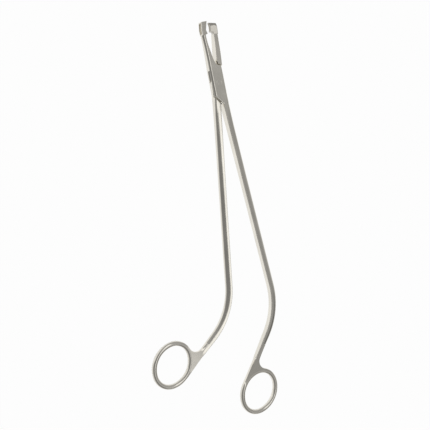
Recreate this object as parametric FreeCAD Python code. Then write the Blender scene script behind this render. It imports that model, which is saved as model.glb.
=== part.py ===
import FreeCAD, Part
import math
import os

# Cervical biopsy punch forceps, in millimetres. Two forged halves cross in a box
# lock: the female half carries the die jaw and the right shank, and the male half,
# which passes through the box, carries the punch jaw and the left shank.
# The origin is on the pivot's axis, in the resting face under the box. +Y runs
# along the female half to the jaws, +X to its right shank's side and +Z is up.
# Each half is drawn along its own axis, and the male half is then turned.

Vector = FreeCAD.Vector

# Pose of the halves, in degrees between their axes
stored_angle = 11.87
closed_angle = 5.87

# Box lock, with the corners of its outline as distances from the pivot's axis
box_thickness = 6.0
cheek_thickness = 1.8
shoulder_play = 0.12
pin_radius = 1.6
pin_play = 0.05
box_left_top = 3.85
box_left_top_drop = 4.6
box_left_middle = 4.3
box_left_bottom = 4.9
box_right_top = 4.5
box_top_left = 11.5
box_top_middle = 1.3
box_top_right = 9.85
box_bottom_left = -8.3
box_bottom_right = -13.7
slot_end = 8.0
slot_end_wall = 1.7
slot_top_share = 0.65
box_edge_round = 0.7
right_edge_round = 0.6
root_edge_round = 1.5
root_step = 0.05
root_lap = 0.4

# Tongue, the male half's middle inside the slot, which follows the box's corners
tongue_face_play = 0.1
tongue_half_width = 3.2
tongue_waist_height = 3.2
tongue_taper = 0.1
tongue_bulge = 4.3
tongue_top_left = 0.2
tongue_crest_left = 1.0
tongue_crest_right = 2.9
tongue_crest_rise = 1.512
tongue_shoulder_rise = 0.567
tongue_hip_drop = 0.83
tongue_heel_inset = 0.3
tongue_heel_rise = 0.685
tongue_foot_drop = 2.74
male_shank_lap = 3.32

# Arms, between the box and the jaws, where a share is a height's share of the way up the arm
arm_length = 30.4
arm_end_thickness = 3.9
arm_root_share = 0.13
arm_flare = 0.25
arm_outer_round = 0.7
female_arm_left = -2.45
female_arm_right = -0.3
female_middle_left = -2.6
female_middle_share = 0.55
female_root_left = -3.15
female_inner_middle = 0.0
female_inner_share = 0.34
female_waist_share = 0.88
crotch_height = 14.6
crotch_offset = 0.35
male_arm_left = -1.05
male_arm_right = 1.9
male_middle_left = -0.8
male_middle_right = 2.38
male_middle_share = 0.59
male_root_left = -0.7
male_root_right = 2.98
male_foot_right = 3.05

# Die jaw, in the female half's frame, with heights above the arm's end
die_height = 8.1
die_depth = 4.8
die_wall = 0.9
die_top_wall = 0.65
die_bottom_wall = 0.75
die_tip = 2.45
die_waist = 0.5
die_waist_height = 2.7
die_heel = 1.0
die_heel_height = 0.35
die_top_left = -1.35
die_knee_left = -2.35
die_knee_height = 3.6
die_edge_round = 0.35

# Punch jaw, in the male half's frame, with heights above the arm's end
punch_height = 7.0
punch_bottom_height = 1.1
punch_heel_rise = 0.4
punch_tip = -3.8
punch_waist = -2.75
punch_waist_drop = 0.6
punch_heel = -2.95
punch_back_top = 1.25
punch_knee_right = 1.65
punch_knee_height = 3.6
punch_root_thickness = 3.9
punch_edge_thickness = 2.2
punch_rim = 0.4
punch_pocket_depth = 1.6
punch_top_radius = 4.0

# Shanks, from the box to the bend
shank_offset = 1.5
shank_root_width = 4.3
shank_width = 4.2
shank_thickness = 4.2
shank_nose_radius = 1.35
shank_nose_turn = 80
shank_inner_bevel = 0.25

# Sections on the straight run: share of the run, and share of the change from the box's shape
shank_steps = ((0.12, 0.5), (0.4, 0.8))

# Bends and handles
female_bend_start = -134.4
female_bend_radius = 44.7
female_bend_angle = 41.8
female_ring_reach = 35.7
female_ring_tilt = 2.8
male_bend_start = -128.6
male_bend_radius = 43.4
male_bend_angle = 44.9
male_ring_reach = 29.9
male_ring_tilt = 13.65

# Finger rings
ring_long_radius = 13.7
ring_short_radius = 11.4
ring_bar_width = 2.9
ring_bar_thickness = 3.3
ring_offset = 10.7
web_fillet = 5.0
ring_edge_round = 1.3

# Neck, from the bend into the ring's web, with shares of the reach to the ring's centre
web_start_share = 0.2
neck_middle_share = 0.4
neck_middle_change = 0.3
neck_end_share = 0.8
neck_width = 3.5
neck_end_width = 2.1
neck_end_inset = 0.15
neck_nose_share = 0.3

middle = box_thickness / 2
slot_floor = cheek_thickness
slot_roof = box_thickness - cheek_thickness
female_side = 1
male_side = -1
tool_reach = 60.0

# How near counts as equal when edges are picked
touching = 0.01
sharp_cosine = 0.9
straight_bow = 0.002


def turned(point, degrees):
    """The point turned about the pivot's axis."""
    angle = math.radians(degrees)
    x, y = point
    return (x * math.cos(angle) - y * math.sin(angle), x * math.sin(angle) + y * math.cos(angle))


def plate(points, low, high):
    """A flat plate with the outline of the points, from one height to another."""
    wire = Part.makePolygon([Vector(x, y, low) for x, y in points + points[:1]])
    return Part.Face(wire).extrude(Vector(0, 0, high - low))


def straight(points):
    """The straight edges from point to point."""
    corners = [Vector(x, y, 0) for x, y in points]
    return [Part.makeLine(a, b) for a, b in zip(corners, corners[1:])]


def smooth(points):
    """One smooth edge through the points."""
    curve = Part.BSplineCurve()
    curve.interpolate([Vector(x, y, 0) for x, y in points])
    return [curve.toShape()]


def half_plane(start, end, play):
    """A block that fills everything on the right of the line, moved to its left by the play."""
    run = Vector(end[0] - start[0], end[1] - start[1], 0)
    run.normalize()
    left = Vector(-run.y, run.x, 0)
    first = Vector(start[0], start[1], 0) + left * play - run * tool_reach
    corners = [first, first + run * 2 * tool_reach]
    corners += [corners[1] - left * tool_reach, corners[0] - left * tool_reach]
    return plate([(corner.x, corner.y) for corner in corners], -box_thickness, 2 * box_thickness)


def rim_edges(solid, end_heights):
    """The sharp edges round a plate's two faces, apart from those across its ends in Y."""
    chosen = []
    for edge in solid.Edges:
        faces = solid.ancestorsOfType(edge, Part.Face)
        halfway = edge.valueAt((edge.FirstParameter + edge.LastParameter) / 2)
        normals = [face.normalAt(*face.Surface.parameter(halfway)) for face in faces]
        sharp = len(faces) == 2 and abs(normals[0].dot(normals[1])) < sharp_cosine
        first, last = edge.Vertexes[0].Point, edge.Vertexes[-1].Point
        upright = abs(first.z - last.z) > 0.5 * edge.Length
        at_end = any(abs(first.y - y) < touching and abs(last.y - y) < touching for y in end_heights)
        if sharp and not upright and not at_end:
            chosen.append(edge)
    return chosen


def nearly_round(solid, radius, end_heights):
    """The plate with its rims cut by three flats each, which touch a round of this radius."""
    turn = math.pi / 8
    first_cut = radius * (1 - math.tan(turn))
    second_cut = radius * (math.tan(turn) - math.tan(turn / 2))
    for cut in (first_cut, second_cut):
        solid = solid.makeChamfer(cut, rim_edges(solid, end_heights))
    return solid


def edges_between(solid, start, end):
    """The edges of a plate's two faces from one corner of its outline to another."""
    def beside(edge, place, corner):
        point = edge.Vertexes[place].Point
        return math.hypot(point.x - corner[0], point.y - corner[1]) < 2 * touching

    return [edge for edge in solid.Edges
            if beside(edge, 0, start) and beside(edge, -1, end)
            or beside(edge, 0, end) and beside(edge, -1, start)]


def line_or_arc(start, between, end):
    """The edge through three points."""
    bow = (between - start).cross(end - start).Length / (end - start).Length
    return Part.makeLine(start, end) if bow < straight_bow else Part.Arc(start, between, end).toShape()


def block_corners(width, thickness, corner_round):
    """Key points of a square-shouldered section: (distance from the inner side, height) pairs.

    They run round the upper half: inner side, bevel, top, corner and outer side.
    """
    half, bevel = thickness / 2, shank_inner_bevel
    inset = corner_round * (1 - math.sqrt(0.5))
    return [(0, half - bevel), (bevel, half), ((bevel + width - corner_round) / 2, half),
            (width - corner_round, half), (width - inset, half - inset), (width, half - corner_round),
            (width, 0)]


def oval_corners(width, thickness, nose_radius):
    """The same key points on half an oval, drawn by a long arc on top and a short one as its nose."""
    half, bevel = thickness / 2, shank_inner_bevel
    nose_centre = width - nose_radius
    top_radius = (nose_centre ** 2 + half ** 2 - nose_radius ** 2) / (2 * (half - nose_radius))
    join = math.asin(nose_centre / (top_radius - nose_radius))
    nose_end = math.radians(shank_nose_turn)

    def on_top(turn):
        return (top_radius * math.sin(turn), half - top_radius * (1 - math.cos(turn)))

    def on_nose(turn):
        return (nose_centre + nose_radius * math.sin(turn), nose_radius * math.cos(turn))

    return [(0, half - bevel), on_top(math.asin(bevel / top_radius)), on_top(join / 2), on_nose(join),
            on_nose((join + nose_end) / 2), on_nose(nose_end), (width, 0)]


def between(start, end, share):
    """The key points a share of the way from one section to another."""
    return [((1 - share) * a + share * c, (1 - share) * b + share * d) for (a, b), (c, d) in zip(start, end)]


def section_wire(corners, y, side, width):
    """A wire across a shank through a section's key points."""
    inner = side * (shank_offset - width / 2)
    up = [Vector(inner + side * across, y, middle + height) for across, height in corners]
    down = [Vector(inner + side * across, y, middle - height) for across, height in corners]
    return Part.Wire([
        Part.makeLine(down[0], up[0]), Part.makeLine(up[0], up[1]), line_or_arc(*up[1:4]),
        line_or_arc(*up[3:6]), line_or_arc(up[5], up[6], down[5]), line_or_arc(*down[5:2:-1]),
        line_or_arc(*down[3:0:-1]), Part.makeLine(down[1], down[0]),
    ])


def shank_end_section(y, side):
    """The section that a shank keeps from its bend on."""
    corners = oval_corners(shank_width, shank_thickness, shank_nose_radius)
    return section_wire(corners, y, side, shank_width)


def straight_shank(side, top, bend_start):
    """The straight run of a shank, which thins from the box's shape to its own.

    It starts inside the box and a hair smaller, so that the two join without slivers.
    """
    root_width = shank_root_width - 2 * root_step
    root = block_corners(root_width, box_thickness - 2 * root_step, root_edge_round)
    end = oval_corners(shank_width, shank_thickness, shank_nose_radius)
    wires = [section_wire(root, top + root_lap, side, root_width)]
    for down, share in shank_steps:
        y = top + down * (bend_start - top)
        wires.append(section_wire(between(root, end, share), y, side,
                                  (1 - share) * root_width + share * shank_width))
    wires.append(shank_end_section(bend_start, side))
    return Part.makeLoft(wires, True, True)


def bend(side, start, radius, angle):
    """The bend, towards the left in both halves."""
    face = Part.Face(shank_end_section(start, side))
    return face.revolve(Vector(side * shank_offset - radius, start, 0), Vector(0, 0, -1), angle)


class Oval:
    """A ring's outline of four arcs, each a quarter turn, set by its long and short radius.

    A turn is an angle in degrees from the long axis's far end, first to the outer side.
    """

    def __init__(self, centre, axis, outward, long_radius, short_radius):
        shift = (long_radius - short_radius) * (1 + math.sqrt(0.5))
        self.centre, self.axis, self.outward = centre, axis, outward
        self.end_shift, self.end_radius = shift, long_radius - shift
        self.side_shift, self.side_radius = -shift, short_radius + shift

    def direction(self, turn):
        """The way that a turn points, out from the centre."""
        angle = math.radians(turn)
        return self.axis * math.cos(angle) + self.outward * math.sin(angle)

    def circle(self, turn):
        """Centre and radius of the arc that holds this turn."""
        middle_turn = 90 * round(turn / 90)
        at_end = middle_turn % 180 == 0
        shift = self.end_shift if at_end else self.side_shift
        radius = self.end_radius if at_end else self.side_radius
        return self.centre + self.direction(middle_turn) * shift, radius

    def edges(self, first, last):
        """The arcs from one turn to another."""
        joints = [turn for turn in range(-225, 500, 90) if first < turn < last]
        stops = [first] + joints + [last]
        arcs = []
        for start, end in zip(stops, stops[1:]):
            centre, radius = self.circle((start + end) / 2)
            points = [centre + self.direction(turn) * radius for turn in (start, (start + end) / 2, end)]
            arcs.append(Part.Arc(*points).toShape())
        return arcs

    def turn_towards(self, offset):
        """The turn at which an offset from a centre points."""
        return math.degrees(math.atan2(offset.dot(self.outward), offset.dot(self.axis)))


def ring_plate(side, start, reach, tilt):
    """The finger ring with its web and neck, drawn as if the handle ran straight on."""
    centre_x = side * shank_offset
    angle = math.radians(tilt)
    axis = Vector(-side * math.sin(angle), -math.cos(angle), 0)
    outward = Vector(side * math.cos(angle), -math.sin(angle), 0)
    centre = Vector(centre_x + side * ring_offset, start - reach, 0)
    half_bar = ring_bar_width / 2
    outer = Oval(centre, axis, outward, ring_long_radius + half_bar, ring_short_radius + half_bar)
    inner = Oval(centre, axis, outward, ring_long_radius - half_bar, ring_short_radius - half_bar)
    neck_top = start - web_start_share * reach
    far_top = Vector(centre_x - side * neck_width / 2, neck_top, 0)
    near_top = Vector(centre_x + side * neck_width / 2, neck_top, 0)

    side_centre, side_radius = outer.circle(-90)
    from_side = far_top - side_centre
    touch = outer.turn_towards(from_side) + math.degrees(math.acos(side_radius / from_side.Length))
    touch_point = side_centre + outer.direction(touch) * side_radius

    end_centre, end_radius = outer.circle(180)
    fillet_x = near_top.x + side * web_fillet
    rise = math.sqrt((end_radius + web_fillet) ** 2 - (fillet_x - end_centre.x) ** 2)
    fillet_centre = Vector(fillet_x, end_centre.y + rise, 0)
    leave = outer.turn_towards(fillet_centre - end_centre) % 360
    leave_point = end_centre + outer.direction(leave) * end_radius
    fillet_end = Vector(near_top.x, fillet_centre.y, 0)
    towards = (leave_point + fillet_end) * 0.5 - fillet_centre
    towards.normalize()

    outline = [Part.makeLine(far_top, touch_point)] + outer.edges(touch, leave)
    outline.append(Part.Arc(leave_point, fillet_centre + towards * web_fillet, fillet_end).toShape())
    outline += [Part.makeLine(fillet_end, near_top), Part.makeLine(near_top, far_top)]
    height = Vector(0, 0, ring_bar_thickness)
    solid = Part.Face(Part.Wire(outline)).extrude(height)
    solid = solid.cut(Part.Face(Part.Wire(inner.edges(-45, 315))).extrude(height))
    solid.translate(Vector(0, 0, middle - ring_bar_thickness / 2))
    return nearly_round(solid, ring_edge_round, [neck_top])


def handle_neck(side, start, reach):
    """The straight run from the bend, which thins into the ring's web."""
    end_thickness = ring_bar_thickness - 2 * neck_end_inset
    shank = oval_corners(shank_width, shank_thickness, shank_nose_radius)
    end = oval_corners(neck_end_width, end_thickness, neck_nose_share * end_thickness)
    half_way = between(shank, end, neck_middle_change)
    return Part.makeLoft([
        shank_end_section(start, side),
        section_wire(half_way, start - neck_middle_share * reach, side, neck_width),
        section_wire(end, start - neck_end_share * reach, side, neck_end_width),
    ], True, True)


def handle(side, start, radius, angle, reach, tilt):
    """The bend and all beyond it."""
    end = handle_neck(side, start, reach).fuse(ring_plate(side, start, reach, tilt))
    end.rotate(Vector(side * shank_offset - radius, start, 0), Vector(0, 0, 1), -angle)
    return bend(side, start, radius, angle).fuse(end)


def thinned_end(flat_to, end, half_at_flat, half_at_end):
    """A block that is level to one height in Y and curves thinner to another, above and below."""
    run, drop = end - flat_to, half_at_flat - half_at_end
    radius = (run * run + drop * drop) / (2 * drop)
    half_turn = math.asin(run / radius) / 2
    foot = 2 * box_bottom_right

    def at(y, z):
        return Vector(-tool_reach, y, middle + z)

    def curve(side):
        sagging = half_at_flat - radius * (1 - math.cos(half_turn))
        return [at(flat_to, side * half_at_flat), at(flat_to + radius * math.sin(half_turn), side * sagging),
                at(end, side * half_at_end)]

    back, front = curve(-1), curve(1)
    edges = [
        Part.makeLine(at(foot, -half_at_flat), back[0]), Part.Arc(*back).toShape(),
        Part.makeLine(back[2], front[2]), Part.Arc(*front[::-1]).toShape(),
        Part.makeLine(front[0], at(foot, half_at_flat)),
        Part.makeLine(at(foot, half_at_flat), at(foot, -half_at_flat)),
    ]
    return Part.Face(Part.Wire(edges)).extrude(Vector(2 * tool_reach, 0, 0))


def arm_profile():
    """Side view of the arms and the box, as a block."""
    return thinned_end(box_top_left, arm_length, middle, arm_end_thickness / 2)


def up_the_arm(share):
    """A height between the box's upper left corner and the arms' end."""
    return box_top_left + share * (arm_length - box_top_left)


# Corners of the box in the female half's frame, which the male half's shoulders clear
female_inner_edge = shank_offset - shank_root_width / 2
female_outer_edge = shank_offset + shank_root_width / 2
box_top_corner = (box_top_middle, box_top_left)
box_right_corner = (box_right_top, box_top_right)
box_left_corner = (-box_left_bottom, box_bottom_left)
box_foot_corner = (female_inner_edge, box_bottom_right)
female_crotch = (crotch_offset, crotch_height)


def female_body():
    """The female half's arm and box, before the slot."""
    arm_top_left = (female_arm_left, arm_length)
    arm_top_right = (female_arm_right + arm_flare, arm_length)
    root_corner = (female_outer_edge, box_bottom_right)
    left = [arm_top_left, (female_middle_left, up_the_arm(female_middle_share)),
            (female_root_left, up_the_arm(arm_root_share)), (-box_left_top, box_top_left - box_left_top_drop),
            (-box_left_middle, 0.0), box_left_corner]
    right = [box_top_corner, female_crotch, (female_inner_middle, up_the_arm(female_inner_share)),
             (female_arm_right, up_the_arm(female_waist_share)), arm_top_right]
    outline = smooth(left)
    outline += straight([box_left_corner, box_foot_corner, root_corner, box_right_corner, box_top_corner])
    outline += smooth(right) + straight([arm_top_right, arm_top_left])
    body = Part.Face(Part.Wire(outline)).extrude(Vector(0, 0, box_thickness)).common(arm_profile())
    right_side = edges_between(body, root_corner, box_right_corner)
    body = body.makeFillet(root_edge_round, right_edge_round, right_side)
    return body.makeFillet(box_edge_round, rim_edges(body, [arm_length, box_bottom_right]))


def box_slot():
    """The slot through the box from side to side, between the arm's root and the shank's."""
    upper_corner = (slot_top_share * box_top_corner[0], crotch_height - slot_end_wall)
    outline = [(-tool_reach, slot_end), (-box_left_top, slot_end), upper_corner,
               (tool_reach, upper_corner[1]), (tool_reach, -slot_end), (box_right_top, -slot_end),
               box_foot_corner, (-tool_reach, box_bottom_right)]
    return plate(outline, slot_floor, slot_roof)


def upright_hole(radius):
    """A round tool through the whole box at the pivot."""
    return Part.makeCylinder(radius, 3 * box_thickness, Vector(0, 0, -box_thickness))


def female_half():
    """Arm, box, right shank and right ring, forged in one."""
    half = female_body().fuse(straight_shank(female_side, box_bottom_right, female_bend_start))
    half = half.cut(box_slot())
    half = half.fuse(handle(female_side, female_bend_start, female_bend_radius, female_bend_angle,
                            female_ring_reach, female_ring_tilt))
    return half.cut(upright_hole(pin_radius))


def male_arm():
    """The male half's arm above the box, which stops at its shoulder."""
    top_left, top_right = (male_arm_left, arm_length), (male_arm_right, arm_length)
    low_left, low_right = (male_root_left, slot_end), (male_foot_right, slot_end)
    root, middle_height = up_the_arm(arm_root_share), up_the_arm(male_middle_share)
    outline = smooth([top_left, (male_middle_left, middle_height), (male_root_left, root), low_left])
    outline += straight([low_left, low_right])
    outline += smooth([low_right, (male_root_right, root), (male_middle_right, middle_height), top_right])
    outline += straight([top_right, top_left])
    body = Part.Face(Part.Wire(outline)).extrude(Vector(0, 0, box_thickness)).common(arm_profile())
    rims = rim_edges(body, [arm_length, slot_end])
    outer = [edge for edge in rims if edge.CenterOfMass.x > (male_root_left + male_foot_right) / 2]
    body = body.makeFillet(arm_outer_round, outer)
    for start, end in ((female_crotch, box_top_corner), (box_top_corner, box_right_corner)):
        body = body.cut(half_plane(turned(start, closed_angle), turned(end, closed_angle), shoulder_play))
    return body


def male_shank():
    """The male half's straight shank, which stops at its shoulder."""
    shank = straight_shank(male_side, box_bottom_left + male_shank_lap, male_bend_start)
    start, end = turned(box_foot_corner, closed_angle), turned(box_left_corner, closed_angle)
    return shank.cut(half_plane(start, end, shoulder_play))


def tongue():
    """The thin middle of the male half, which passes through the box's slot."""
    outer_edge, inner_edge = -female_outer_edge, -female_inner_edge
    outline = [
        (tongue_crest_left, box_top_left + tongue_crest_rise),
        (tongue_crest_right, box_top_left + tongue_shoulder_rise),
        (tongue_half_width - tongue_taper, slot_end), (tongue_half_width, -tongue_waist_height),
        (inner_edge, box_bottom_right), (inner_edge, box_bottom_right - tongue_foot_drop),
        (outer_edge + tongue_heel_inset, box_bottom_right + tongue_heel_rise),
        (outer_edge, box_bottom_left - tongue_hip_drop),
        (-tongue_bulge, 0.0), (-tongue_half_width, tongue_waist_height), (tongue_top_left, box_top_left),
    ]
    return plate(outline, slot_floor + tongue_face_play, slot_roof - tongue_face_play)


def male_half():
    """Arm, tongue, left shank and left ring, forged in one."""
    half = tongue().fuse([male_arm(), male_shank()])
    half = half.fuse(handle(male_side, male_bend_start, male_bend_radius, male_bend_angle,
                            male_ring_reach, male_ring_tilt))
    return half.cut(upright_hole(pin_radius + pin_play))


def die_jaw():
    """The die: a head with a window that the punch passes through."""
    top = arm_length + die_height
    outline = [
        (female_arm_left, arm_length), (female_arm_right + arm_flare, arm_length),
        (die_heel, arm_length + die_heel_height), (die_waist, arm_length + die_waist_height),
        (die_tip, top), (die_top_left, top), (die_knee_left, arm_length + die_knee_height),
    ]
    low = middle - die_depth / 2
    head = plate(outline, low, low + die_depth)
    head = head.makeFillet(die_edge_round, rim_edges(head, [arm_length]))
    window_low = arm_length + die_bottom_wall
    window = Part.makeBox(4 * die_tip, top - die_top_wall - window_low, die_depth - 2 * die_wall,
                          Vector(-2 * die_tip, window_low, low + die_wall))
    return head.cut(window)


def punch_jaw():
    """The punch: a hollow head with a sharp rim and a tip that leads."""
    top, bottom = arm_length + punch_height, arm_length + punch_bottom_height
    tip, heel = (punch_tip, top), (punch_heel, bottom + punch_heel_rise)
    waist = (punch_waist, (heel[1] + top) / 2 - punch_waist_drop)
    rim = Part.Arc(*[Vector(x, y, 0) for x, y in (tip, waist, heel)]).toShape()
    back = [
        heel, (male_arm_left, bottom), (male_arm_left, arm_length), (male_arm_right, arm_length),
        (punch_knee_right, arm_length + punch_knee_height), (punch_back_top, top), tip,
    ]
    head = Part.Face(Part.Wire([rim] + straight(back))).extrude(Vector(0, 0, box_thickness))
    root, edge = punch_root_thickness / 2, punch_edge_thickness / 2
    wedge = Part.makePolygon([
        Vector(male_arm_right, 0, middle - root), Vector(punch_tip, 0, middle - edge),
        Vector(punch_tip, 0, middle + edge), Vector(male_arm_right, 0, middle + root),
        Vector(male_arm_right, 0, middle - root)])
    head = head.common(Part.Face(wedge).extrude(Vector(0, 2 * top, 0)))
    run = (top - bottom) / 2
    drop = punch_top_radius - math.sqrt(punch_top_radius ** 2 - run ** 2)
    head = head.common(thinned_end(top - run, top, root, root - drop))
    pocket = Part.makeBox(punch_waist - punch_tip + punch_pocket_depth, top - heel[1] - 2 * punch_rim,
                          punch_edge_thickness - 2 * punch_rim,
                          Vector(punch_tip, heel[1] + punch_rim, middle - edge + punch_rim))
    return head.cut(pocket)


def pivot_pin():
    """The pin, fixed in both cheeks and ground flush with them."""
    return Part.makeCylinder(pin_radius, box_thickness)


def as_stored(shape):
    """A piece of the male half, turned to the angle at which the forceps lie open."""
    turned_shape = shape.copy()
    turned_shape.rotate(Vector(0, 0, 0), Vector(0, 0, 1), -stored_angle)
    return turned_shape


pieces = {
    "female_half": female_half(),
    "die_jaw": die_jaw(),
    "male_half": as_stored(male_half()),
    "punch_jaw": as_stored(punch_jaw()),
    "pivot_pin": pivot_pin(),
}

os.makedirs("parts", exist_ok=True)
for name, shape in pieces.items():
    shape.exportStep("parts/" + name + ".step")
    print(name, "valid" if shape.isValid() else "not valid", round(shape.Volume, 1))
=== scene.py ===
import collections
import math

import bpy
from mathutils import Matrix, Vector

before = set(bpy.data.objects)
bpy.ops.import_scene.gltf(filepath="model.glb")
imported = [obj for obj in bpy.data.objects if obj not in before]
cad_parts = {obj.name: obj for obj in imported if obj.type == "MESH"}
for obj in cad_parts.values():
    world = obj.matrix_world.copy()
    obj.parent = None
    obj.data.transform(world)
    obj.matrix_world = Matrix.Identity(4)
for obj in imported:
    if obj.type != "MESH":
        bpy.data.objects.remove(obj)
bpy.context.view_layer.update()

bl_info = {
    "name": "Cervical biopsy punch forceps",
    "version": (1, 0, 0),
    "blender": (4, 5, 0),
    "location": "View3D > Sidebar > Forceps",
    "description": "Dresses the forceps in ground stainless steel and sets them in a plain studio",
    "category": "Add Mesh",
}

MM = 0.001

# The photograph's camera, in the object's frame
CAMERA_TARGET = Vector((-24.43, -79.72, 3.0)) * MM
CAMERA_PLACE = Vector((-213.3, -25.5, 424.4)) * MM
CAMERA_RIGHT = Vector((0.8711, -0.2501, 0.4226))
CAMERA_UP = Vector((0.2760, 0.9612, 0.0))
PHOTO_SIDE = 430
FOCAL_PIXELS = 738.1
SENSOR = 36.0
CLIP_NEAR, CLIP_FAR = 0.01, 20.0

# The box lock, and the turn of the male half in it
MIDDLE = 3.0 * MM
BOX_TOP = 6.0 * MM
BOX_FOOT = -8.3 * MM
SLOT_FLOOR = 1.8 * MM
MALE_TURN = math.radians(-11.87)

# How near a point is to a height that it lies on, and how upright a level face's normal is
TOUCH = 0.02 * MM
LEVEL = 0.7

# The rings: half their length and width over the middle of the bar, how far out the bar is shaded
# round, and where the web is that leans: its cosine to the web's direction, and its distances
RING_LONG, RING_SHORT = 13.7 * MM, 11.4 * MM
RING_BAR_FADE = (1.2 * MM, 1.9 * MM)
RING_WEB_REACH = (0.35, 0.85)
RING_WEB_JOIN = (-0.3 * MM, 0.5 * MM)
RING_WEB_FADE = (7.0 * MM, 12.0 * MM)
Ring = collections.namedtuple("Ring", "centre axis web web_lean")
RIGHT_RING = Ring(
    Vector((-25.69, -197.98)) * MM, math.radians(45.4), math.radians(88), (0.14, 0.0))
LEFT_RING = Ring(
    Vector((-77.5, -160.4)) * MM, math.radians(46.9), math.radians(-3), (-0.006, 0.07))

# The die arm's left side, and how it thins towards the jaw, as in the solid
ARM_LEFT_AT_PIVOT = -4.37 * MM
ARM_LEFT_SLOPE = 0.0633
ARM_THINS_FROM = 12.0 * MM
ARM_THINNING = 3.1

# Soft edges that are shading only, set to the photograph's tones
ARM_EDGE_ROUND = (1.2 * MM, 3.0 * MM)
ARM_EDGE_LEAN = 0.6
SLOT_LIP_WIDTH = (1.0 * MM, 1.6 * MM)
SLOT_LIP_NORMAL = (-0.6, 0.0, 0.8)
PUNCH_CROWN = (34.6 * MM, 35.7 * MM)
PUNCH_CROWN_NORMAL = (-0.25, 0.37, 0.895)
POCKET_LIP_NORMAL = (-0.75, 0.0, 0.66)

# The steel: its noises, and what each adds to tone and roughness
Noise = collections.namedtuple("Noise", "scale detail roughness")
GRAIN = Noise(1.0, 4.0, 0.6)
CLOUD = Noise(160.0, 3.0, 0.55)
PATCHES = Noise(70.0, 2.0, 0.5)
GRAIN_STRETCH = (9000.0, 260.0, 9000.0)
GRAIN_TONE, CLOUD_TONE, PATCH_TONE = 0.12, 0.12, 0.3
GRAIN_ROUGH, CLOUD_ROUGH, EDGE_SMOOTH = 0.12, 0.08, 0.06
GRAIN_DEPTH, GRAIN_BUMP = 0.01 * MM, 0.5
EDGE_TURN = (0.004, 0.12)
EDGE_SAMPLES = 16
# The die's and the punch's copies of the steel are darker, the punch's most: painted shade on
# their colour
DIE_ROUGHER, DIE_PAINTED_SHADE = 0.04, 0.96
PUNCH_ROUGHER, PUNCH_PAINTED_SHADE = 0.02, 0.68

# The room's light by direction, in degrees from overhead: across is to the left, along is towards
# the jaws. A zone's light is added to the room's, and a lamp's takes its place.
DEGREES = 180 / math.pi
Zone = collections.namedtuple(
    "Zone", "light across_from across_to along_from along_to", defaults=[None] * 4)
ROOM_LIGHT = 0.44
ZONES = {
    "dim_overhead": Zone(-0.19, across_from=(-4, 4), across_to=(35, 80), along_to=(12, 30)),
    "grey_wall": Zone(-0.09, across_from=(-85, -65), across_to=(-42, -28), along_to=(5, 20)),
    "left_wall": Zone(0.42, across_from=(50, 120)),
    "right_wall": Zone(0.42, across_to=(-100, -55)),
    "dark_corner": Zone(-0.38, across_to=(-75, -50), along_to=(-30, -5)),
}
LAMPS = {
    "window": Zone(1.1, across_from=(35, 70), along_from=(18, 38)),
    "strip": Zone(1.2, across_from=(-20, -15), across_to=(-5, 0),
                  along_from=(-21, -13), along_to=(20, 45)),
}
FLOOR_DROP = 0.1 * MM
FLOOR_GLOW = 0.97
WHITE = (1.0, 1.0, 1.0, 1.0)


class Socket:
    """A value socket that takes part in Python arithmetic by adding Math nodes."""

    def __init__(self, shader, output):
        self.shader = shader
        self.output = output

    def _maths(self, operation, *values):
        node = self.shader.node("ShaderNodeMath", {"operation": operation},
                                {index: value for index, value in enumerate(values)})
        return Socket(self.shader, node.outputs[0])

    def __add__(self, other):
        return self._maths("ADD", self, other)

    def __radd__(self, other):
        return self._maths("ADD", other, self)

    def __sub__(self, other):
        return self._maths("SUBTRACT", self, other)

    def __rsub__(self, other):
        return self._maths("SUBTRACT", other, self)

    def __mul__(self, other):
        return self._maths("MULTIPLY", self, other)

    def __rmul__(self, other):
        return self._maths("MULTIPLY", other, self)

    def __truediv__(self, other):
        return self._maths("DIVIDE", self, other)

    def __rtruediv__(self, other):
        return self._maths("DIVIDE", other, self)

    def __gt__(self, other):
        return self._maths("GREATER_THAN", self, other)

    def __lt__(self, other):
        return self._maths("LESS_THAN", self, other)

    def __abs__(self):
        return self._maths("ABSOLUTE", self)

    def largest(self, other):
        return self._maths("MAXIMUM", self, other)

    def ramp(self, low, high):
        """Smoothly from 0 at low to 1 at high, held outside."""
        node = self.shader.node(
            "ShaderNodeMapRange", {"interpolation_type": "SMOOTHSTEP", "clamp": True},
            {"Value": self, "From Min": low, "From Max": high})
        return Socket(self.shader, node.outputs["Result"])

    def root(self):
        return self._maths("SQRT", self)

    def arc_sine(self):
        return self._maths("ARCSINE", self)

    def arc_tangent(self, other):
        return self._maths("ARCTAN2", self, other)


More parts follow.
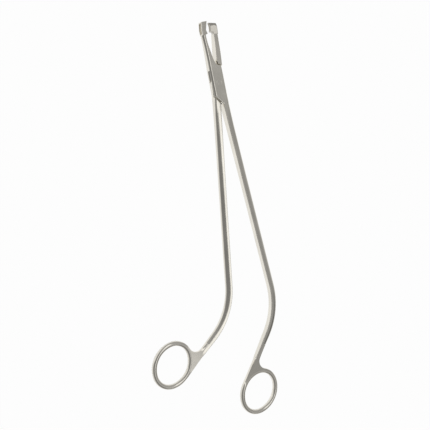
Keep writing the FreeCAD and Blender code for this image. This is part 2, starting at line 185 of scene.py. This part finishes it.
class Shader:
    """A node tree that is filled by one method."""

    def __init__(self, tree):
        self.tree = tree
        tree.nodes.clear()

    def node(self, kind, settings=None, inputs=None):
        node = self.tree.nodes.new(kind)
        for name, value in (settings or {}).items():
            setattr(node, name, value)
        for key, value in (inputs or {}).items():
            self.feed(node.inputs[key], value)
        return node

    def feed(self, socket, value):
        if isinstance(value, Socket):
            self.tree.links.new(value.output, socket)
        elif isinstance(value, bpy.types.NodeSocket):
            self.tree.links.new(value, socket)
        else:
            socket.default_value = value

    def value(self, node, output=0):
        return Socket(self, node.outputs[output])

    def parts(self, vector):
        """The three values of a vector."""
        split = self.node("ShaderNodeSeparateXYZ", {}, {0: vector})
        return [self.value(split, index) for index in range(3)]

    def noise(self, vector, kind):
        """A noise that swings about 0."""
        node = self.node("ShaderNodeTexNoise", {}, {
            "Vector": vector, "Scale": kind.scale, "Detail": kind.detail,
            "Roughness": kind.roughness})
        return self.value(node) - 0.5

    def vector(self, x, y, z):
        return self.node("ShaderNodeCombineXYZ", {}, {0: x, 1: y, 2: z}).outputs[0]

    def mix_vectors(self, share, first, second):
        """The unit vector between two, at a share of the way to the second."""
        mix = self.node("ShaderNodeMix", {"data_type": "VECTOR"}, {0: share, 4: first, 5: second})
        unit = self.node("ShaderNodeVectorMath", {"operation": "NORMALIZE"}, {0: mix.outputs[1]})
        return unit.outputs[0]


class ForcepsSteel(bpy.types.PropertyGroup):
    """The finish of the ground stainless steel."""

    colour: bpy.props.FloatVectorProperty(
        name="Steel colour", description="Colour of the ground steel", subtype="COLOR", size=3,
        min=0.0, max=1.0, default=(0.75, 0.72, 0.65))
    roughness: bpy.props.FloatProperty(
        name="Roughness", description="How soft the reflections of the ground faces are",
        subtype="FACTOR", min=0.0, max=1.0, default=0.13)
    edge_width: bpy.props.FloatProperty(
        name="Edge width", description="Radius of the worn round on sharp edges",
        subtype="DISTANCE", unit="LENGTH", min=0.0, default=0.3 * MM)
    grain: bpy.props.FloatProperty(
        name="Grain", description="Strength of the grinding marks", subtype="FACTOR",
        min=0.0, max=1.0, default=0.2)


class ForcepsStudio(bpy.types.PropertyGroup):
    """The floor and the light round the forceps."""

    floor_side: bpy.props.FloatProperty(
        name="Floor side", description="Length of the floor's side", subtype="DISTANCE",
        unit="LENGTH", min=0.5, default=4.0)
    floor_colour: bpy.props.FloatVectorProperty(
        name="Floor colour", description="Colour of the plain floor", subtype="COLOR", size=3,
        min=0.0, max=1.0, default=(0.93, 0.93, 0.93))


def ring_normals(shader, x, y, z, upward, ring):
    """The normals of a ring's leaning web and of its round bar, each with where it holds."""
    cosine, sine = math.cos(ring.axis), math.sin(ring.axis)
    from_x, from_y = x - ring.centre.x, y - ring.centre.y
    long_way = from_x * cosine + from_y * sine
    short_way = from_y * cosine - from_x * sine
    long_slope, short_slope = long_way / RING_LONG ** 2, short_way / RING_SHORT ** 2
    level = (long_way * long_slope + short_way * short_slope).root()
    steepness = (long_slope * long_slope + short_slope * short_slope).root()
    distance = (level - 1.0) * level / steepness
    out_x = (long_slope * cosine - short_slope * sine) / steepness
    out_y = (long_slope * sine + short_slope * cosine) / steepness
    towards_web = ((from_x * math.cos(ring.web) + from_y * math.sin(ring.web))
                   / (from_x * from_x + from_y * from_y).root()).ramp(*RING_WEB_REACH)
    height = z - MIDDLE
    from_core = (distance * distance + height * height).root()
    lean, rise = distance / from_core, height / from_core
    upper = (z > MIDDLE) * 2.0 - 1.0
    outside = distance.ramp(*RING_WEB_JOIN)
    on_web = towards_web * (abs(upward) > LEVEL) * outside * (1.0 - distance.ramp(*RING_WEB_FADE))
    on_bar = (1.0 - abs(distance).ramp(*RING_BAR_FADE)) * (1.0 - towards_web * outside)
    return [(shader.vector(*ring.web_lean, upper), on_web),
            (shader.vector(out_x * lean, out_y * lean, rise), on_bar)]


def arm_edge_normal(shader, x, y, z):
    """The normal of the soft left edge of the die arm and the box, and where it holds."""
    beyond = (y - ARM_THINS_FROM).largest(0.0)
    top = BOX_TOP - beyond * beyond * ARM_THINNING
    left = y * ARM_LEFT_SLOPE + ARM_LEFT_AT_PIVOT
    across = (left + ARM_EDGE_ROUND[0] - x) / ARM_EDGE_ROUND[0]
    up = (z - top + ARM_EDGE_ROUND[1]) / ARM_EDGE_ROUND[1]
    normal = shader.vector(across * -ARM_EDGE_LEAN, 0.0, up)
    return normal, (across > 0.0) * (up > 0.0) * (y > BOX_FOOT)


def slot_lip_normal(shader, x, y, z, upward):
    """The normal of the slot's floor, rounded off at its left mouth, and where it holds."""
    left = y * ARM_LEFT_SLOPE + ARM_LEFT_AT_PIVOT
    on_floor = (abs(z - SLOT_FLOOR) < TOUCH) * (upward > LEVEL)
    return shader.vector(*SLOT_LIP_NORMAL), on_floor * (1.0 - (x - left).ramp(*SLOT_LIP_WIDTH))


def punch_normals(shader, y, z, upward):
    """The normals of the punch's rounded end and of its pocket's lip, each with where it holds."""
    level = upward > LEVEL
    return [(shader.vector(*PUNCH_CROWN_NORMAL), y.ramp(*PUNCH_CROWN) * level),
            (shader.vector(*POCKET_LIP_NORMAL), (z < MIDDLE) * level)]


def shaped_normal(shader, place, normal, ring, arm_edge, punch):
    """A normal with those of the soft forms of a piece laid over it."""
    x, y, z = shader.parts(place)
    upward = shader.parts(shader.node("ShaderNodeTexCoord").outputs["Normal"])[2]
    shaped = []
    if ring:
        shaped += ring_normals(shader, x, y, z, upward, ring)
    if arm_edge:
        shaped += [arm_edge_normal(shader, x, y, z), slot_lip_normal(shader, x, y, z, upward)]
    if punch:
        shaped += punch_normals(shader, y, z, upward)
    for direction, share in shaped:
        world = shader.node(
            "ShaderNodeVectorTransform",
            {"vector_type": "NORMAL", "convert_from": "OBJECT", "convert_to": "WORLD"},
            {0: direction})
        normal = shader.mix_vectors(share, normal, world.outputs[0])
    return normal


def steel_material(name, long_axis=0.0, rougher=0.0, painted_shade=1.0,
                   ring=None, arm_edge=False, punch=False):
    """Ground stainless steel whose marks run along an axis of the frame, darkened by a painted
    shade where asked.
    """
    look = bpy.context.scene.forceps_steel
    material = bpy.data.materials.new(name)
    material.use_nodes = True
    shader = Shader(material.node_tree)
    place = shader.node("ShaderNodeTexCoord").outputs["Object"]
    turned = shader.node("ShaderNodeMapping", {}, {
        "Vector": place, "Rotation": (0.0, 0.0, -long_axis)}).outputs[0]
    stretched = shader.node(
        "ShaderNodeVectorMath", {"operation": "MULTIPLY"}, {0: turned, 1: GRAIN_STRETCH})
    grain = shader.noise(stretched.outputs[0], GRAIN)
    cloud = shader.noise(turned, CLOUD)
    patches = shader.noise(turned, PATCHES)

    rounded = shader.node(
        "ShaderNodeBevel", {"samples": EDGE_SAMPLES}, {"Radius": look.edge_width}).outputs[0]
    flat = shader.node("ShaderNodeNewGeometry").outputs["Normal"]
    cosine = shader.value(shader.node(
        "ShaderNodeVectorMath", {"operation": "DOT_PRODUCT"}, {0: rounded, 1: flat}), "Value")
    edge = (1.0 - cosine).ramp(*EDGE_TURN)
    bump = shader.node("ShaderNodeBump", {}, {
        "Strength": GRAIN_BUMP * look.grain, "Distance": GRAIN_DEPTH, "Height": grain,
        "Normal": shaped_normal(shader, place, rounded, ring, arm_edge, punch)})

    tone = cloud * CLOUD_TONE + grain * GRAIN_TONE + patches * PATCH_TONE + 1.0
    # A factor below one darkens this piece's copy of the steel: painted shade
    tint = shader.node("ShaderNodeVectorMath", {"operation": "SCALE"},
                       {0: tuple(painted_shade * channel for channel in look.colour), "Scale": tone})
    rough = (look.roughness + rougher
             + grain * GRAIN_ROUGH + cloud * CLOUD_ROUGH - edge * EDGE_SMOOTH)
    body = shader.node("ShaderNodeBsdfPrincipled", {}, {
        "Base Color": tint.outputs[0], "Metallic": 1.0, "Roughness": rough,
        "Normal": bump.outputs[0]})
    shader.node("ShaderNodeOutputMaterial", {}, {"Surface": body.outputs[0]})
    return material


def dress(node, material):
    """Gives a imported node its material."""
    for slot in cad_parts[node].material_slots:
        slot.material = material


class FORCEPS_OT_female_half(bpy.types.Operator):
    """Finish the female half: die arm, box, right shank and right ring"""

    bl_idname = "forceps.female_half"
    bl_label = "Female half"

    def execute(self, context):
        dress("female_half", steel_material("ground_steel_female", ring=RIGHT_RING, arm_edge=True))
        return {"FINISHED"}


class FORCEPS_OT_male_half(bpy.types.Operator):
    """Finish the male half: punch arm, tongue, left shank and left ring"""

    bl_idname = "forceps.male_half"
    bl_label = "Male half"

    def execute(self, context):
        dress("male_half", steel_material("ground_steel_male", MALE_TURN, ring=LEFT_RING))
        return {"FINISHED"}


class FORCEPS_OT_jaws(bpy.types.Operator):
    """Finish the die and the punch"""

    bl_idname = "forceps.jaws"
    bl_label = "Jaws"

    def execute(self, context):
        # The jaws' copies of the steel are darkened, the punch's most: painted shade
        die = steel_material("ground_steel_die", rougher=DIE_ROUGHER, painted_shade=DIE_PAINTED_SHADE)
        punch = steel_material(
            "ground_steel_punch", MALE_TURN, PUNCH_ROUGHER, PUNCH_PAINTED_SHADE, punch=True)
        dress("die_jaw", die)
        dress("punch_jaw", punch)
        return {"FINISHED"}


class FORCEPS_OT_pivot(bpy.types.Operator):
    """Finish the flush pivot pin"""

    bl_idname = "forceps.pivot"
    bl_label = "Pivot pin"

    def execute(self, context):
        dress("pivot_pin", steel_material("ground_steel_pin"))
        return {"FINISHED"}


def zone_share(across, along, zone):
    """How far a direction lies in a zone of the room."""
    share = 1.0
    for angle, begins, ends in ((across, zone.across_from, zone.across_to),
                                (along, zone.along_from, zone.along_to)):
        if begins:
            share = share * angle.ramp(*begins)
        if ends:
            share = share * (1.0 - angle.ramp(*ends))
    return share


def studio_world():
    """A grey room with a strip of light overhead, dim where the picture is taken from."""
    world = bpy.data.worlds.new("studio_room")
    bpy.context.scene.world = world
    world.use_nodes = True
    shader = Shader(world.node_tree)
    x, y, z = shader.parts(shader.node("ShaderNodeTexCoord").outputs["Generated"])
    across = (0.0 - x).arc_tangent(z) * DEGREES
    along = y.arc_sine() * DEGREES
    strength = ROOM_LIGHT
    for zone in ZONES.values():
        strength = strength + zone_share(across, along, zone) * zone.light
    for lamp in LAMPS.values():
        strength = strength + (lamp.light - strength) * zone_share(across, along, lamp)
    seen = shader.value(shader.node("ShaderNodeLightPath"), "Is Camera Ray")
    strength = strength * (1.0 - seen) + seen
    background = shader.node("ShaderNodeBackground", {}, {"Color": WHITE, "Strength": strength})
    shader.node("ShaderNodeOutputWorld", {}, {"Surface": background.outputs[0]})


def plain_floor(studio):
    """A pale floor just under the box, white where it is seen."""
    half = studio.floor_side / 2
    mesh = bpy.data.meshes.new("floor")
    corners = [(-half, -half, 0.0), (half, -half, 0.0), (half, half, 0.0), (-half, half, 0.0)]
    mesh.from_pydata(corners, [], [(0, 1, 2, 3)])
    floor = bpy.data.objects.new("floor", mesh)
    floor.location = (CAMERA_TARGET.x, CAMERA_TARGET.y, -FLOOR_DROP)
    bpy.context.collection.objects.link(floor)
    material = bpy.data.materials.new("floor_paper")
    material.use_nodes = True
    shader = Shader(material.node_tree)
    paper = shader.node("ShaderNodeBsdfDiffuse", {}, {"Color": (*studio.floor_colour, 1.0)})
    glow = shader.node("ShaderNodeEmission", {}, {"Color": WHITE, "Strength": 1.0})
    path = shader.node("ShaderNodeLightPath")
    seen, glossy, through = (
        shader.value(path, "Is %s Ray" % kind) for kind in ("Camera", "Glossy", "Transmission"))
    mix = shader.node("ShaderNodeMixShader", {}, {
        0: (seen * FLOOR_GLOW).largest(glossy).largest(through),
        1: paper.outputs[0], 2: glow.outputs[0]})
    shader.node("ShaderNodeOutputMaterial", {}, {"Surface": mix.outputs[0]})
    mesh.materials.append(material)


def photo_camera():
    """The camera at the photograph's place and angle."""
    data = bpy.data.cameras.new("photo_camera")
    data.sensor_width = SENSOR
    data.lens = SENSOR * FOCAL_PIXELS / PHOTO_SIDE
    data.clip_start, data.clip_end = CLIP_NEAR, CLIP_FAR
    camera = bpy.data.objects.new("photo_camera", data)
    back = CAMERA_RIGHT.cross(CAMERA_UP)
    turn = Matrix((CAMERA_RIGHT, CAMERA_UP, back)).transposed().to_4x4()
    camera.matrix_world = Matrix.Translation(CAMERA_PLACE) @ turn
    bpy.context.collection.objects.link(camera)
    bpy.context.scene.camera = camera


class FORCEPS_OT_studio(bpy.types.Operator):
    """Set up the floor, the light and the camera"""

    bl_idname = "forceps.studio"
    bl_label = "Studio"

    def execute(self, context):
        studio = context.scene.forceps_studio
        plain_floor(studio)
        studio_world()
        photo_camera()
        context.scene.view_settings.view_transform = "Standard"
        return {"FINISHED"}


OPERATORS = (FORCEPS_OT_studio, FORCEPS_OT_female_half, FORCEPS_OT_male_half, FORCEPS_OT_jaws,
             FORCEPS_OT_pivot)


class FORCEPS_PT_pieces(bpy.types.Panel):
    """The forceps' pieces and studio in the sidebar"""

    bl_idname = "FORCEPS_PT_pieces"
    bl_label = "Forceps"
    bl_space_type = "VIEW_3D"
    bl_region_type = "UI"
    bl_category = "Forceps"

    def draw(self, context):
        for group in (context.scene.forceps_steel, context.scene.forceps_studio):
            for name in group.__annotations__:
                self.layout.prop(group, name)
        for operator in OPERATORS:
            self.layout.operator(operator.bl_idname)


CLASSES = (ForcepsSteel, ForcepsStudio, *OPERATORS, FORCEPS_PT_pieces)


def register():
    for cls in CLASSES:
        bpy.utils.register_class(cls)
    bpy.types.Scene.forceps_steel = bpy.props.PointerProperty(type=ForcepsSteel)
    bpy.types.Scene.forceps_studio = bpy.props.PointerProperty(type=ForcepsStudio)


def unregister():
    del bpy.types.Scene.forceps_studio
    del bpy.types.Scene.forceps_steel
    for cls in reversed(CLASSES):
        bpy.utils.unregister_class(cls)


def main():
    register()
    bpy.ops.forceps.studio()
    bpy.ops.forceps.female_half()
    bpy.ops.forceps.male_half()
    bpy.ops.forceps.jaws()
    bpy.ops.forceps.pivot()


if __name__ == "__main__":
    main()
